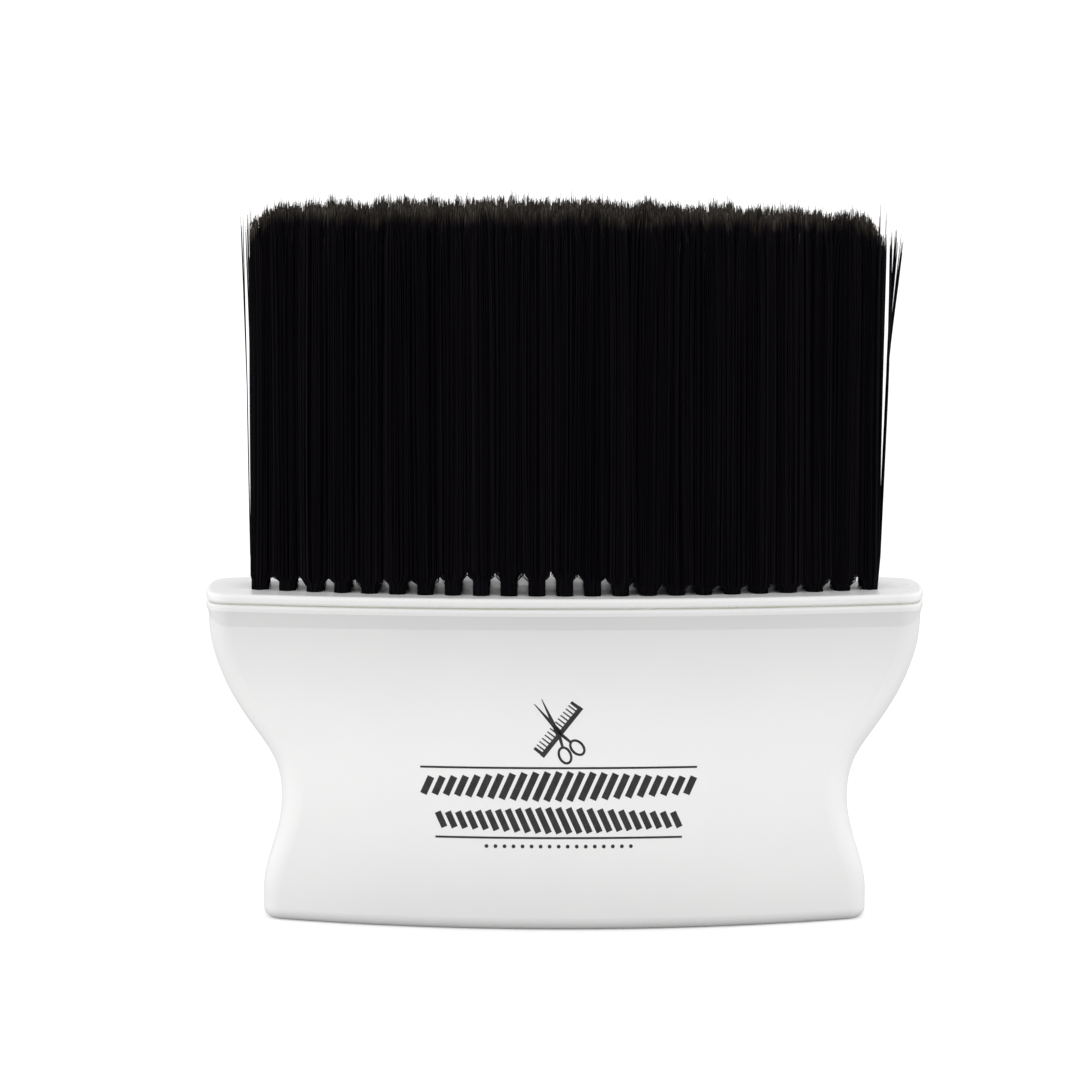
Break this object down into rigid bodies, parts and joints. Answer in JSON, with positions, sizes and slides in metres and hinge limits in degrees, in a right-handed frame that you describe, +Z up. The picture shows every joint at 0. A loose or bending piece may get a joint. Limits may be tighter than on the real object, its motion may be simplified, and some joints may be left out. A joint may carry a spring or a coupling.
{
  "type": "neck duster brush",
  "caption": "Barber's neck duster: a wide waisted plastic handle that stands on its foot, with dense soft black filament tufts set in a plate across its top.",
  "frame": {"origin": "middle of the flat foot the brush stands on, at the bottom centre of its bounding box", "axes": "+Z up from the foot to the filament tips; X along the wide side of the brush; Y through its thickness, with the printed front facing -Y"},
  "size_m": [0.12, 0.036, 0.119],
  "materials": {
    "handle_plastic": "satin white moulded plastic",
    "plate_plastic": "satin white moulded plastic",
    "adhesive": "cured adhesive, slightly yellow",
    "anchor_wire": "flattened wire",
    "filament": "soft black crimped filament with brown-grey tips"
  },
  "bodies": {
    "root": {"handle_shell": "handle_plastic", "tuft_plate": "plate_plastic", "glue_bead": "adhesive", "anchor_staples": "anchor_wire", "tuft_row_01": "filament", "tuft_row_02": "filament", "tuft_row_03": "filament", "tuft_row_04": "filament", "tuft_row_05": "filament", "tuft_row_06": "filament", "tuft_row_07": "filament", "tuft_row_08": "filament", "tuft_row_09": "filament", "tuft_row_10": "filament", "tuft_row_11": "filament", "tuft_row_12": "filament", "tuft_row_13": "filament", "tuft_row_14": "filament", "tuft_row_15": "filament", "tuft_row_16": "filament", "tuft_row_17": "filament", "tuft_row_18": "filament", "tuft_row_19": "filament", "tuft_row_20": "filament", "tuft_row_21": "filament", "tuft_row_22": "filament", "tuft_row_23": "filament"}
  },
  "joints": []
}
